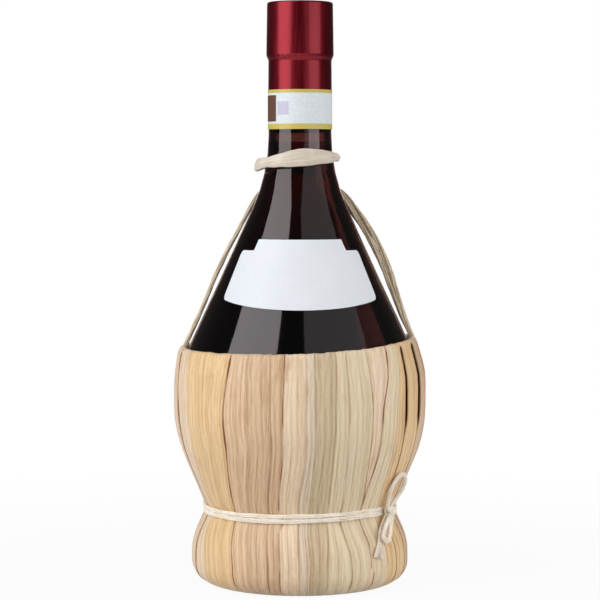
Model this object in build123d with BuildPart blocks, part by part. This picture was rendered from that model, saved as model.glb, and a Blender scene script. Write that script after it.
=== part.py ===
"""Straw-covered wine flask, full size in millimetres.

A round-shouldered glass flask stands in a skirt of flat straw leaves. Each leaf starts under the
foot, is drawn in at the waist by a tied string, follows the belly and folds over a cane hoop at the
rim. A cord goes round the neck and down both sides as a handle. The mouth holds a cork under a foil
capsule. Z is up, the front label faces -Y, and the origin is the centre of the foot on the ground.
"""
from build123d import *
from math import asin, atan, atan2, copysign, cos, degrees, hypot, pi, radians, remainder, sin, sqrt, tan
import os

os.makedirs("parts", exist_ok=True)

# Overall
total_height = 255.0
overrun = 20.0                    # how far cutting shapes reach past what they cut

# Glass: mouth and neck
bore_radius = 9.25
bore_length = 49.0
lip_radius = 14.0
lip_height = 23.0
lip_chamfer = 0.8
neck_radius = 13.6

# Glass: body line, as corners that are then folded round their arcs in flat steps
flare_corner_height = 180.3
flare_round = 78.0
glass_belly_radius = 53.2
shoulder_corner_height = 95.1
shoulder_round = 55.0
belly_corner_height = 66.0
belly_round = 60.0
glass_base_height = 16.5
heel_round = 20.0
outside_folds = (3, 2, 2, 3)      # steps of the arcs at the flare, shoulder, belly and heel
inside_folds = (1, 1, 1, 2)
punt_radius = 15.0
punt_depth = 3.0
wall = 2.4
base_extra = 2.6                  # the base is thicker than the wall by this

# Wine
wine_gap = 0.1
wine_ullage = 15.45               # air between the wine and the cork

# Cork
cork_length = 44.0
cork_clearance = 0.05             # running fit of the cork in the bore
cork_recess = 0.6                 # cork top below the lip

# Capsule, in a top part that is cut free and a skirt that stays on the neck
foil = 0.3
capsule_clearance = 0.3           # between the loose top part and the glass
capsule_cut = 0.3                 # the cut line between the two foil parts
capsule_chamfer = 0.3
disc_seat_width = 2.4             # how far the turned-in top edge covers the disc
disc_gap = 0.05
skirt_gap = 0.05
skirt_bottom_height = 208.0

# Paper band round the neck, and front label
paper = 0.15
paper_gap = 0.05
band_bottom_height = 199.5
band_top_height = 216.7
label_drop = 14.0                 # from the lower end of the flare to the label
label_side_height = 24.7
label_tab_height = 4.8
label_half_angle = 56.0
label_tab_half_angle = 41.0
label_corner = 1.8
label_margin_angle = 4.0          # the rolled sheet reaches this far past the cut outline

# Straw skirt, outside line from the tucked end to the rim
leaf_thickness = 0.5
leaf_gap = 0.3                    # between neighbouring leaves at the belly
glass_gap = 0.2                   # between the folded rim and the glass
tuck_radius = 20.0
foot_radius = 47.4
foot_round = 9.6
foot_flare_height = 19.3
foot_flare_round = 25.0
waist_radius = 40.4
waist_height = 33.2
waist_round = 6.0
waist_seat = 0.4                  # between the drawn-in straw and the glass
glass_waist_radius = waist_radius - leaf_thickness - waist_seat
belly_slack = 1.5                 # the straw stands off the glass at the belly
straw_belly_radius = glass_belly_radius + belly_slack + leaf_thickness
straw_belly_round = 60.0
straw_low_rise = 0.5              # straw corners beside the glass corners
straw_belly_low_height = belly_corner_height + straw_low_rise
straw_high_drop = 1.9
straw_belly_high_height = shoulder_corner_height - straw_high_drop
straw_shoulder_round = 44.0
rim_fold_radius = 1.4
rim_rise = 8.9                    # rim hoop above the shoulder corner
rim_hoop_height = shoulder_corner_height + rim_rise
rim_tail = 6.5
straw_folds = (2, 2, 2, 2, 2)      # steps of the arcs at the foot, flare, waist, belly and shoulder
rim_folds = 3
hoop_side = 0.8

# Edges between leaves in degrees from the front, positive to the right, then on round the back
leaf_edge_angles = [
    -90, -74.5, -58.6, -48, -37.2, -22.4, -6.6, 7.8, 23.4, 36, 45.9, 56, 69.5, 83,
    98, 112, 128, 143, 159, 173, 189, 205, 220, 236, 251, 270,
]

# Pad of twisted straw inside the foot, which carries the flask
pad_gap = 0.3
pad_hole_radius = 12.0
pad_side_gap = 1.4                # the pad's side is upright and the foot leans in above
pad_chamfer = 6.2
pad_top_height = 19.0

# Waist string and its bow
string_depth = 1.1                # a flat strand, taller than deep
string_height = 1.5
string_turns = 2
string_gap = 0.5                  # clear space from one turn to the next
string_seat = 0.1
quarter_share = 1 / 4
sample_count = 400                # points on which the winding's gap to itself is measured
knot_angle = 58.5
knot_length = 4.6
knot_depth = 3.2
knot_height = 34.3
knot_sides = 8
knot_chamfer = 0.6

# Handle cord
loop_thickness = 2.0
loop_inner_radius = 15.4
loop_front_height = 7.6
loop_side_height = 3.6
loop_centre_height = 185.2
loop_shift = 0.6                  # it hangs over to the left
loop_tilt = 5.0
strap_depth = 1.6
strap_width_left = 1.8
strap_width_right = 2.4

# Cord routes by hand: angle from the front in degrees, distance from the axis, height
strap_route_left = [
    (-175, 18.4, 178.3), (-153, 19.0, 176.6), (-131, 19.8, 174.0), (-113, 21.6, 169.5),
    (-102, 24.6, 161.0), (-97, 30.4, 150.0), (-95, 36.0, 138.5), (-93, 41.0, 126.5),
    (-92, 45.4, 115.5), (-91, 50.0, 106.5),
]
strap_route_right = [
    (175, 18.7, 177.6), (154, 19.3, 176.0), (134, 20.2, 173.8), (116, 21.9, 170.0),
    (103, 26.0, 162.0), (97, 32.2, 152.0), (94, 37.8, 140.0), (92, 42.4, 126.5),
    (91, 46.0, 115.5), (90, 50.2, 106.8),
]
bow_loop_route = [
    (57.3, 45.2, 36.2), (55.6, 46.3, 41.0), (56.0, 48.7, 47.0), (58.5, 50.4, 50.6),
    (62.0, 51.6, 50.2), (63.6, 51.0, 46.2), (61.8, 48.4, 41.2), (59.7, 45.6, 36.2),
]
bow_fold_route = [
    (58.2, 46.0, 32.4), (53.5, 46.7, 30.0), (49.2, 47.8, 27.0), (46.8, 48.8, 24.2),
    (50.6, 49.2, 22.0), (53.6, 48.4, 26.0), (56.4, 47.2, 29.6), (60.2, 46.2, 32.2),
]
bow_tail_route = [
    (57.0, 44.2, 32.3), (53.0, 44.6, 29.3), (49.2, 45.6, 25.6), (46.2, 47.2, 21.5),
    (44.0, 48.6, 15.8),
]


# Shared geometry
def heading_plane(angle):
    """Upright plane through the axis: its x runs outwards at this angle from the front."""
    outwards = Vector(sin(radians(angle)), -cos(radians(angle)), 0)
    return Plane(origin=(0, 0, 0), x_dir=outwards, z_dir=outwards.cross(Vector(0, 0, 1)))


def around(angle, radius, height):
    """Point at an angle from the front, a distance from the axis and a height."""
    return Vector(radius * sin(radians(angle)), -radius * cos(radians(angle)), height)


def inset_corners(corners, inset):
    """Corners of an open line whose runs all move by the inset, to the right of their direction."""
    runs = []
    for (r0, z0), (r1, z1) in zip(corners, corners[1:]):
        length = sqrt((r1 - r0) ** 2 + (z1 - z0) ** 2)
        runs.append(((r1 - r0) / length, (z1 - z0) / length))
    moved = [(corners[0][0] + inset * runs[0][1], corners[0][1] - inset * runs[0][0])]
    for (r, z), (ax, az), (bx, bz) in zip(corners[1:-1], runs, runs[1:]):
        share = inset / (1 + ax * bx + az * bz)
        moved.append((r + share * (az + bz), z - share * (ax + bx)))
    moved.append((corners[-1][0] + inset * runs[-1][1], corners[-1][1] - inset * runs[-1][0]))
    return moved


def corner_radii(points, largest_share=0.45):
    """Largest arc for each corner of a cord's route."""
    radii = []
    for before, here, after in zip(points, points[1:], points[2:]):
        turn = radians((here - before).get_angle(after - here))
        shorter = min((here - before).length, (after - here).length)
        radii.append(largest_share * shorter / tan(turn / 2))
    return radii


def creases(centre, radius, first_normal, turn, count):
    """Corners of a bend that is folded in flat steps round its centre."""
    step = turn / count
    reach = radius / cos(step / 2)
    normals = [first_normal + step * (index + 1 / 2) for index in range(count)]
    return [(centre[0] + reach * cos(normal), centre[1] + reach * sin(normal)) for normal in normals]


def folded(corners, rounds, folds):
    """Line through corners whose arcs, as large as their runs allow, are folded in flat steps."""
    line = [corners[0]]
    last = len(corners) - 2
    for index, (radius, count) in enumerate(zip(rounds, folds), start=1):
        (r0, z0), (r1, z1), (r2, z2) = corners[index - 1:index + 2]
        before, after = hypot(r1 - r0, z1 - z0), hypot(r2 - r1, z2 - z1)
        into = atan2(z1 - z0, r1 - r0)
        turn = remainder(atan2(z2 - z1, r2 - r1) - into, 2 * pi)
        room = min(before if index == 1 else before / 2, after if index == last else after / 2)
        bend = min(radius, room / tan(abs(turn) / 2))
        start = bend * tan(abs(turn) / 2)
        normal = into - copysign(pi / 2, turn)
        centre = (r1 - start * cos(into) - bend * cos(normal), z1 - start * sin(into) - bend * sin(normal))
        line += creases(centre, bend, normal, turn, count)
    return line + [corners[-1]]


lower_slope_share = (glass_belly_radius - glass_waist_radius) / (belly_corner_height - waist_height)
heel_corner_radius = glass_belly_radius - lower_slope_share * (belly_corner_height - glass_base_height)
cone_slope_share = (glass_belly_radius - neck_radius) / (flare_corner_height - shoulder_corner_height)
cone_lean = degrees(atan(cone_slope_share))
glass_top = total_height - 2 * foil - disc_gap - capsule_clearance
lip_bottom = glass_top - lip_height
body_corners = [
    (neck_radius, lip_bottom),
    (neck_radius, flare_corner_height),
    (glass_belly_radius, shoulder_corner_height),
    (glass_belly_radius, belly_corner_height),
    (heel_corner_radius, glass_base_height),
    (0, glass_base_height),
]


def cone_radius(height):
    """Outside radius of the glass cone between neck and belly."""
    return glass_belly_radius - cone_slope_share * (height - shoulder_corner_height)


def body_line(inset, extra_base, folds):
    """Points of the body line from neck to axis, moved inwards, over a thicker base."""
    corners = inset_corners(body_corners, inset)
    corners[-1] = (0, corners[-1][1] + extra_base)
    corners[-2] = (corners[-2][0] + extra_base * lower_slope_share, corners[-1][1])
    rounds = (flare_round + inset, shoulder_round - inset, belly_round - inset, heel_round - inset)
    return folded(corners, rounds, folds)


# Flask
with BuildPart() as flask:
    with BuildSketch(Plane.XZ):
        with BuildLine():
            Polyline(
                *body_line(0, 0, outside_folds),
                (0, glass_top),
                (lip_radius - lip_chamfer, glass_top),
                (lip_radius, glass_top - lip_chamfer),
                (lip_radius, lip_bottom),
                close=True,
            )
        make_face()
    revolve(axis=Axis.Z)
    with BuildSketch(Plane.XZ):
        with BuildLine():
            inside = body_line(wall, base_extra, inside_folds)
            Polyline(
                (inside[0][0], glass_top - bore_length),
                *inside[1:],
                (0, glass_top + overrun),
                (bore_radius, glass_top + overrun),
                (bore_radius, glass_top - bore_length),
                close=True,
            )
        make_face()
    revolve(axis=Axis.Z, mode=Mode.SUBTRACT)
    with BuildSketch(Plane.XZ):
        with BuildLine():
            apex = (0, glass_base_height + punt_depth)
            Polyline(apex, (punt_radius, glass_base_height), (0, glass_base_height), close=True)
        make_face()
    revolve(axis=Axis.Z, mode=Mode.SUBTRACT)
flask.part.label = "flask"
export_step(flask.part, "parts/flask.step")

# Wine, up into the neck
cork_top = glass_top - cork_recess
wine_level = cork_top - cork_length - wine_ullage
with BuildPart() as wine:
    with BuildSketch(Plane.XZ):
        with BuildLine():
            fill = body_line(wall + wine_gap, base_extra, inside_folds)
            Polyline((fill[0][0], wine_level), *fill[1:], (0, wine_level), close=True)
        make_face()
    revolve(axis=Axis.Z)
wine.part.label = "wine"
export_step(wine.part, "parts/wine.step")
print("wine volume in litres", round(wine.part.volume / 1e6, 3))

# Cork
with BuildPart() as cork:
    with BuildSketch(Plane.XY.offset(cork_top - cork_length)):
        Circle(bore_radius - cork_clearance)
    extrude(amount=cork_length)
cork.part.label = "cork"
export_step(cork.part, "parts/cork.step")

# Capsule: loose top part, with its disc held under the turned-in edge
cap_bottom = lip_bottom + capsule_cut
cap_inside = lip_radius + capsule_clearance
cap_outside = cap_inside + foil
disc_opening = cap_inside - disc_seat_width
with BuildPart() as capsule_cap:
    with BuildSketch(Plane.XY.offset(cap_bottom)):
        Circle(cap_outside)
    extrude(amount=total_height - cap_bottom)
    chamfer(capsule_cap.faces().sort_by(Axis.Z)[-1].edges(), length=capsule_chamfer)
    with BuildSketch(Plane.XY.offset(cap_bottom)):
        Circle(cap_inside)
    extrude(amount=total_height - foil - cap_bottom, mode=Mode.SUBTRACT)
    with BuildSketch(Plane.XY.offset(total_height)):
        Circle(disc_opening)
    extrude(amount=-foil, mode=Mode.SUBTRACT)
capsule_cap.part.label = "capsule_cap"
export_step(capsule_cap.part, "parts/capsule_cap.step")

with BuildPart() as capsule_disc:
    with BuildSketch(Plane.XY.offset(total_height - 2 * foil - disc_gap)):
        Circle(cap_inside - disc_gap)
    extrude(amount=foil)
capsule_disc.part.label = "capsule_disc"
export_step(capsule_disc.part, "parts/capsule_disc.step")

# Capsule skirt, left on the neck up to the lip
skirt_inside = neck_radius + skirt_gap
skirt_outside = skirt_inside + foil
with BuildPart() as capsule_skirt:
    with BuildSketch(Plane.XY.offset(skirt_bottom_height)):
        Circle(skirt_outside)
        Circle(skirt_inside, mode=Mode.SUBTRACT)
    extrude(amount=lip_bottom - skirt_gap - skirt_bottom_height)
capsule_skirt.part.label = "capsule_skirt"
export_step(capsule_skirt.part, "parts/capsule_skirt.step")

# Paper band over the lower end of the capsule skirt
band_inner_radius = skirt_outside + paper_gap
with BuildPart() as neck_band:
    with BuildSketch(Plane.XY.offset(band_bottom_height)):
        Circle(band_inner_radius + paper)
        Circle(band_inner_radius, mode=Mode.SUBTRACT)
    extrude(amount=band_top_height - band_bottom_height)
neck_band.part.label = "neck_band"
export_step(neck_band.part, "parts/neck_band.step")

# Front label, wrapped on the cone: its outline is drawn from the front, wide with a raised middle
flare_tangent = (flare_round * tan(radians(cone_lean) / 2)) * cos(radians(cone_lean))
label_top_height = flare_corner_height - flare_tangent - label_drop
label_shoulder_height = label_top_height - label_tab_height
label_bottom_height = label_shoulder_height - label_side_height
label_inner_step = paper_gap / cos(radians(cone_lean))
label_outer_step = (paper_gap + paper) / cos(radians(cone_lean))
side_share = sin(radians(label_half_angle))
tab_share = sin(radians(label_tab_half_angle))
label_outline = [
    (side_share * cone_radius(label_bottom_height), label_bottom_height),
    (side_share * cone_radius(label_shoulder_height), label_shoulder_height),
    (tab_share * cone_radius(label_shoulder_height), label_shoulder_height),
    (tab_share * cone_radius(label_top_height), label_top_height),
]
with BuildPart() as front_label:
    with BuildSketch(heading_plane(-label_half_angle - label_margin_angle)):
        with BuildLine():
            Polyline(
                (cone_radius(label_bottom_height) + label_inner_step, label_bottom_height),
                (cone_radius(label_bottom_height) + label_outer_step, label_bottom_height),
                (cone_radius(label_top_height) + label_outer_step, label_top_height),
                (cone_radius(label_top_height) + label_inner_step, label_top_height),
                close=True,
            )
        make_face()
    revolve(axis=Axis.Z, revolution_arc=2 * (label_half_angle + label_margin_angle))
    with BuildSketch(Plane.XZ) as label_shape:
        with BuildLine():
            Polyline(*label_outline, *[(-x, z) for x, z in reversed(label_outline)], close=True)
        make_face()
        wide = label_shape.vertices().group_by(Axis.X)
        fillet(wide[0] + wide[-1], radius=label_corner)
    extrude(amount=glass_belly_radius, mode=Mode.INTERSECT)
front_label.part.label = "front_label"
export_step(front_label.part, "parts/front_label.step")

# Straw leaves: one section line for all, from the tucked end round the foot to the folded rim
cone_normal = radians(cone_lean)
fold_centre = (
    cone_radius(rim_hoop_height) + (glass_gap + rim_fold_radius) / cos(cone_normal),
    rim_hoop_height,
)
straw_corners = [
    (tuck_radius, 0),
    (foot_radius, 0),
    (foot_radius, foot_flare_height),
    (waist_radius, waist_height),
    (straw_belly_radius, straw_belly_low_height),
    (straw_belly_radius, straw_belly_high_height),
]
rise = fold_centre[1] - straw_belly_high_height
run = fold_centre[0] - straw_belly_radius
outer_normal = atan2(rise, run) - asin(rim_fold_radius / sqrt(rise**2 + run**2)) - pi / 2


def straw_line(inset):
    """Points of the straw's section line, moved inwards by the inset, and its fold round the hoop."""
    fold_turn = pi + cone_normal - outer_normal
    fold = creases(fold_centre, rim_fold_radius - inset, outer_normal, fold_turn, rim_folds)
    corners = inset_corners(straw_corners + fold[:1], -inset)
    corners[-1] = fold[0]
    rounds = (
        foot_round - inset,
        foot_flare_round - inset,
        waist_round + inset,
        straw_belly_round - inset,
        straw_shoulder_round - inset,
    )
    tail_end = (fold[-1][0] + rim_tail * sin(cone_normal), fold[-1][1] - rim_tail * cos(cone_normal))
    return folded(corners, rounds, straw_folds) + fold[1:] + [tail_end]


gap_angle = degrees(leaf_gap / straw_belly_radius)
widest = max(high - low for low, high in zip(leaf_edge_angles, leaf_edge_angles[1:]))
for number, (low, high) in enumerate(zip(leaf_edge_angles, leaf_edge_angles[1:]), start=1):
    half_width = (high - low - gap_angle) / 2
    upright = heading_plane((low + high) / 2)
    level = Plane(origin=(0, 0, 0), x_dir=upright.x_dir, z_dir=(0, 0, 1))
    with BuildPart() as leaf:
        with BuildSketch(upright):
            with BuildLine():
                Polyline(*straw_line(0), *reversed(straw_line(leaf_thickness)), close=True)
            make_face()
        reach = straw_belly_radius + overrun
        extrude(amount=reach * tan(radians(half_width)), both=True)
        with BuildSketch(level.offset(-overrun)):
            with BuildLine():
                side = reach * tan(radians(half_width))
                Polyline((0, 0), (reach, -side), (reach, side), close=True)
            make_face()
        extrude(amount=total_height, mode=Mode.INTERSECT)
    leaf_name = f"straw_leaf_{number:02d}"
    leaf.part.label = leaf_name
    export_step(leaf.part, f"parts/{leaf_name}.step")

# Cane hoop inside the folded rim, with a flat side behind each flat leaf
flat_spread = 1 / cos(radians(widest / 2))
leaf_angles = [(low + high) / 2 for low, high in zip(leaf_edge_angles, leaf_edge_angles[1:])]


def hoop_outline(distance):
    """Corners of a ring of straight runs, one facing each leaf, at a distance from the axis."""
    corners = []
    for here, after in zip(leaf_angles, leaf_angles[1:] + [leaf_angles[0] + 360]):
        corner = around((here + after) / 2, distance / cos(radians(after - here) / 2), 0)
        corners.append((corner.X, corner.Y))
    return corners


with BuildPart() as rim_hoop:
    with BuildSketch(Plane.XY.offset(rim_hoop_height - hoop_side / 2)):
        with BuildLine():
            Polyline(*hoop_outline(fold_centre[0] + hoop_side / 2), close=True)
        make_face()
        with BuildLine():
            Polyline(*hoop_outline(fold_centre[0] - hoop_side / 2), close=True)
        make_face(mode=Mode.SUBTRACT)
    extrude(amount=hoop_side)
rim_hoop.part.label = "rim_hoop"
export_step(rim_hoop.part, "parts/rim_hoop.step")

# Foot pad: fills the foot inside the leaves and cradles the heel of the flask
pad_inset = leaf_thickness + pad_gap
cradle_base = glass_base_height - pad_gap
pad_outside = foot_radius - pad_inset - pad_side_gap
heel_turn = pi / 2 - atan(lower_slope_share)
heel_centre_radius = heel_corner_radius - heel_round * tan(heel_turn / 2)
cradle_foot_radius = heel_centre_radius + (heel_round + pad_gap) * tan(pi / 8)
with BuildPart() as foot_pad:
    with BuildSketch(Plane.XZ):
        with BuildLine():
            Polyline(
                (pad_hole_radius, pad_inset),
                (pad_outside - pad_chamfer, pad_inset),
                (pad_outside, pad_inset + pad_chamfer),
                (pad_outside, pad_top_height),
                (cradle_foot_radius + pad_top_height - cradle_base, pad_top_height),
                (cradle_foot_radius, cradle_base),
                (pad_hole_radius, cradle_base),
                close=True,
            )
        make_face()
    revolve(axis=Axis.Z)
foot_pad.part.label = "foot_pad"
export_step(foot_pad.part, "parts/foot_pad.step")

# Waist string: one unbroken cord wound round the leaves, on pairs of arcs for each quarter turn
lower_lean = atan((foot_radius - waist_radius) / (waist_height - foot_flare_height))
upper_lean = atan((straw_belly_radius - waist_radius) / (straw_belly_low_height - waist_height))
waist_rounding = waist_round * (1 / cos((lower_lean + upper_lean) / 2) - 1)
string_pitch = string_height + string_gap
string_reach = string_pitch * string_turns / 2
waist_rise = waist_round - sqrt(waist_round**2 - string_reach**2)
waist_corner_radius = (waist_radius + waist_rounding + waist_rise) * flat_spread
string_path_radius = waist_corner_radius + string_seat + string_depth / 2


def string_point(turn):
    """Point of the winding after a number of turns from its start behind the knot."""
    angle = knot_angle + 360 * turn
    return around(angle, string_path_radius, waist_height + string_pitch * (turn - string_turns / 2))


def string_heading(turn):
    """Direction of the winding at that point."""
    angle = radians(knot_angle + 360 * turn)
    flat = 2 * pi * string_path_radius
    return Vector(flat * cos(angle), flat * sin(angle), string_pitch).normalized()


def arc_pair(start, start_heading, end, end_heading):
    """Two tangent arcs between two points with given headings."""
    chord = end - start
    both = start_heading + end_heading
    a = 2 * (start_heading.dot(end_heading) - 1)
    b = -2 * chord.dot(both)
    c = chord.dot(chord)
    reach = (-b - sqrt(b * b - 4 * a * c)) / (2 * a)
    joint = (start + end + (start_heading - end_heading) * reach) * (1 / 2)
    joint_heading = chord - both * reach
    TangentArc(start, joint, tangent=start_heading)
    TangentArc(joint, end, tangent=joint_heading.normalized())


with BuildPart() as waist_string:
    with BuildLine() as winding:
        first, first_heading = string_point(0), string_heading(0)
        last, last_heading = string_point(string_turns), string_heading(string_turns)
        Line(first - first_heading * string_height, first)
        for step in range(round(string_turns / quarter_share)):
            turn = step * quarter_share
            arc_pair(
                string_point(turn),
                string_heading(turn),
                string_point(turn + quarter_share),
                string_heading(turn + quarter_share),
            )
        Line(last, last + last_heading * string_height)
    start_plane = Plane(origin=winding.wires()[0] @ 0, x_dir=around(knot_angle, 1, 0), z_dir=first_heading)
    with BuildSketch(start_plane) as string_section:
        Rectangle(string_depth, string_height)
    sweep()
waist_string.part.label = "waist_string"
export_step(waist_string.part, "parts/waist_string.step")
string_wire = winding.wires()[0]
print("waist string length", round(string_wire.length, 1),
      "section x length", round(string_section.sketch.area * string_wire.length, 1),
      "volume", round(waist_string.part.volume, 1))
samples = [string_wire @ (index / sample_count) for index in range(sample_count)]
quarter_count = round(sample_count * quarter_share / string_turns)
gaps = [
    (here - there).length - string_height
    for index, here in enumerate(samples) for there in samples[index + quarter_count:]
]
print("waist string least gap to itself", round(min(gaps), 2))

# Bow: a knot over the string, with an upright loop, a folded loop and a hanging tail
knot_distance = string_path_radius + string_depth / 2 + string_seat + knot_depth / 2
knot_out = around(knot_angle, 1, 0)
knot_along = Plane(
    origin=around(knot_angle, knot_distance, knot_height),
    x_dir=knot_out,
    z_dir=knot_out.cross(Vector(0, 0, -1)),
)
with BuildPart() as bow_knot:
    with BuildSketch(knot_along):
        RegularPolygon(radius=knot_depth / 2, side_count=knot_sides)
    extrude(amount=knot_length / 2, both=True)
    ends = bow_knot.faces().filter_by(knot_along)
    chamfer(ends.edges(), length=knot_chamfer)
bow_knot.part.label = "bow_knot"
export_step(bow_knot.part, "parts/bow_knot.step")

# Cords along routes: the bow's three, then the handle down each side from behind the neck to the rim
for cord_name, route, depth, width in (
    ("bow_loop", bow_loop_route, string_depth, string_height),
    ("bow_fold", bow_fold_route, string_depth, string_height),
    ("bow_tail", bow_tail_route, string_depth, string_height),
    ("handle_strap_left", strap_route_left, strap_depth, strap_width_left),
    ("handle_strap_right", strap_route_right, strap_depth, strap_width_right),
):
    points = [around(*place) for place in route]
    arcs = corner_radii(points)
    with BuildPart() as cord:
        with BuildLine() as cord_line:
            FilletPolyline(*points, radius=arcs)
        cord_start = Plane(origin=points[0], x_dir=around(route[0][0], 1, 0), z_dir=points[1] - points[0])
        with BuildSketch(cord_start) as cord_section:
            Rectangle(depth, width)
        sweep()
    cord.part.label = cord_name
    export_step(cord.part, f"parts/{cord_name}.step")
    cord_length = cord_line.wires()[0].length
    print(cord_name, "length", round(cord_length, 1), "arc radii", [round(arc, 1) for arc in arcs],
          "section x length", round(cord_section.sketch.area * cord_length, 1),
          "volume", round(cord.part.volume, 1))

# Neck loop: the flattened middle of the handle cord, broad in front and narrow behind
loop_sideways = Vector(cos(radians(loop_tilt)), 0, sin(radians(loop_tilt)))
loop_level = Plane(origin=(-loop_shift, 0, loop_centre_height), x_dir=loop_sideways,
                   z_dir=loop_sideways.cross(Vector(0, 1, 0)))
loop_outer_radius = loop_inner_radius + loop_thickness
with BuildPart() as neck_loop:
    with BuildSketch(loop_level.offset(-loop_front_height / 2)):
        Circle(loop_outer_radius)
        Circle(loop_inner_radius, mode=Mode.SUBTRACT)
    extrude(amount=loop_front_height)
    with BuildSketch(Plane(origin=loop_level.origin, x_dir=(0, -1, 0), z_dir=loop_sideways)):
        with BuildLine():
            side_outline = [
                (-loop_outer_radius, loop_side_height / 2),
                (0, loop_side_height / 2),
                (loop_outer_radius, loop_front_height / 2),
            ]
            Polyline(*side_outline, *[(x, -y) for x, y in reversed(side_outline)], close=True)
        make_face()
    extrude(amount=loop_outer_radius, both=True, mode=Mode.INTERSECT)
neck_loop.part.label = "neck_loop"
export_step(neck_loop.part, "parts/neck_loop.step")
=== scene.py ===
"""Straw-covered wine flask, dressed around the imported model. Z is up and the front label faces -Y."""

from math import asin, atan, atan2, ceil, cos, exp, pi, radians, sin, sqrt, tan

import bpy
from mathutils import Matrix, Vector, noise


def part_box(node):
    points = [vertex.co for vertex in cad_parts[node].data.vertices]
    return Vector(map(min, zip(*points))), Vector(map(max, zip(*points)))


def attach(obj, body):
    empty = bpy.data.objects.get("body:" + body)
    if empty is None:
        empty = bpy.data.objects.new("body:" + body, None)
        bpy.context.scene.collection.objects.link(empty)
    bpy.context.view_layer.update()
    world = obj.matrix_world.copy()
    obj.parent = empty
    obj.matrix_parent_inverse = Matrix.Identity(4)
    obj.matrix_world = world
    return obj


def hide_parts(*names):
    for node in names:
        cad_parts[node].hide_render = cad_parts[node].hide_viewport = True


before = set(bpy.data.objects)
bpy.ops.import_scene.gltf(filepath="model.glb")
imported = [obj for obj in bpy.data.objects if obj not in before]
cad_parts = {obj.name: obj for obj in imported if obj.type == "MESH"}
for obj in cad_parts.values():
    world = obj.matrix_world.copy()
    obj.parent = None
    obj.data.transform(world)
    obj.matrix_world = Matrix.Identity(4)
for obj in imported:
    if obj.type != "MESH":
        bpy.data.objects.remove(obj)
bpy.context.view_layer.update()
mm = 0.001
merge_distance = 0.01 * mm
crease, sheet_crease, cord_crease = radians(38), radians(50), radians(60)

# Glass
neck_radius = 13.85 * mm
neck_top_radius = 13.5 * mm
neck_shoulder_height = 198 * mm
flare_corner_height = 180.3 * mm
belly_radius = 53.2 * mm
shoulder_corner_height = 95.1 * mm
belly_corner_height = 66 * mm
glass_base_height = 16.5 * mm
glass_waist_radius = 39.5 * mm
flare_round = 78 * mm
glass_rounds = (flare_round, 55 * mm, 60 * mm, 20 * mm)
punt_radius = 15 * mm
punt_depth = 3 * mm
punt_shares = (0.8, 0.6, 0.4, 0.2, 0)
cone_share = (belly_radius - neck_radius) / (flare_corner_height - shoulder_corner_height)
bore_radius = 9.25 * mm
bore_length = 49 * mm
glass_wall = 2.4 * mm
base_extra = 2.6 * mm
lip_low_radius = 14.1 * mm
lip_top_radius = 13.7 * mm
lip_height = 23 * mm
lip_undercut = 1.6 * mm
lip_round = 1.1 * mm
wine_gap = 0.05 * mm
wine_level = 194 * mm

# Foil
foil_thickness = 0.3 * mm
foil_gap = 0.05 * mm
foil_steps = 160
cap_low_extra = 0.2 * mm
cap_top_inset = 0.15 * mm
cap_edge_drop = 0.25 * mm
cap_edge_turn = 0.25 * mm
cap_edge_height = 0.9 * mm
cap_edge_round = 2 * mm
cap_top_round = 0.9 * mm
cap_inner_round = 0.6 * mm
cap_top_width = 2.4 * mm
disc_gap = 0.35 * mm
disc_ridge_radius = 9.2 * mm
disc_ridge_height = 0.12 * mm
disc_ridge_half_width = 0.6 * mm
disc_rounds = (0.6 * mm, 0.3 * mm, 0.6 * mm)

# Label, with its half widths in degrees round the cone
label_half_angle = 58.0
label_tab_half_angle = 41.5
label_tab_height = 4.8 * mm
label_tab_ease = 1.4
label_sag = 3.7 * mm
label_rise = 1.2 * mm
label_corner = 1.8 * mm
label_degree_width = 0.6 * mm
label_gap = 0.12 * mm
label_thickness = 0.15 * mm
label_columns = 120
label_rows = 30

# Neck band: gold stripes, and for each block its two sides and its distances from both edges
stripe_low_width = 2.4 * mm
stripe_high_width = 1.5 * mm
panel_sides = (-14.2 * mm, -10.4 * mm)
panel_margins = (3.3 * mm, 2.4 * mm)
block_sides = (-9.8 * mm, -4.9 * mm)
block_margins = (6.2 * mm, 5.2 * mm)

# Straw skirt
tuck_radius = 20 * mm
foot_radius = 47.35 * mm
foot_round = 10 * mm
foot_flare_height = 19.3 * mm
foot_flare_round = 25 * mm
waist_radius = 40.8 * mm
waist_height = 33.2 * mm
waist_round = 6 * mm
straw_belly_radius = 55.15 * mm
straw_belly_low = 66.5 * mm
straw_belly_middle = 78 * mm
straw_belly_high = 93.2 * mm
straw_belly_round = 60 * mm
straw_shoulder_round = 44 * mm
rim_centre = (50.85 * mm, 104 * mm)
rim_fold_radius = 1.7 * mm
rim_fold_steps = 12
rim_tail = 6.5 * mm
rim_right_rise = 2.9 * mm
rim_left_drop = 1.5 * mm
rim_front_drop = 0.9 * mm
rim_blade_step = 0.35 * mm
station_step = 1.5 * mm
straw_thickness = 0.45 * mm

# Edges between blades in degrees from the front, at the rim, the belly, the waist and the foot
front_edges = (
    (-90, -90, -90, -90), (-75.5, -74, -76, -74.5), (-61, -58.6, -65, -58.4), (-34.4, -37.2, -43, -38.3),
    (-22.9, -22.4, -29.5, -25.8), (-14.5, -14, -20, -18), (-5.9, -6.6, -11, -9.2), (1.6, 1.8, -2.4, -1.6),
    (7.4, 7.8, 4.9, 6.4), (15.7, 14.7, 15, 12.8), (22.7, 23.4, 26, 29.4), (30.8, 33, 36.5, 39),
    (45.5, 40.5, 38.5, 43), (50.5, 47.5, 49.5, 51), (56.6, 56, 60.5, 63), (69.9, 69.5, 74, 75.5),
    (83, 83, 84, 84),
)
back_blade_count = 15
back_wander = 2.4
back_slant = 1.7
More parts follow.
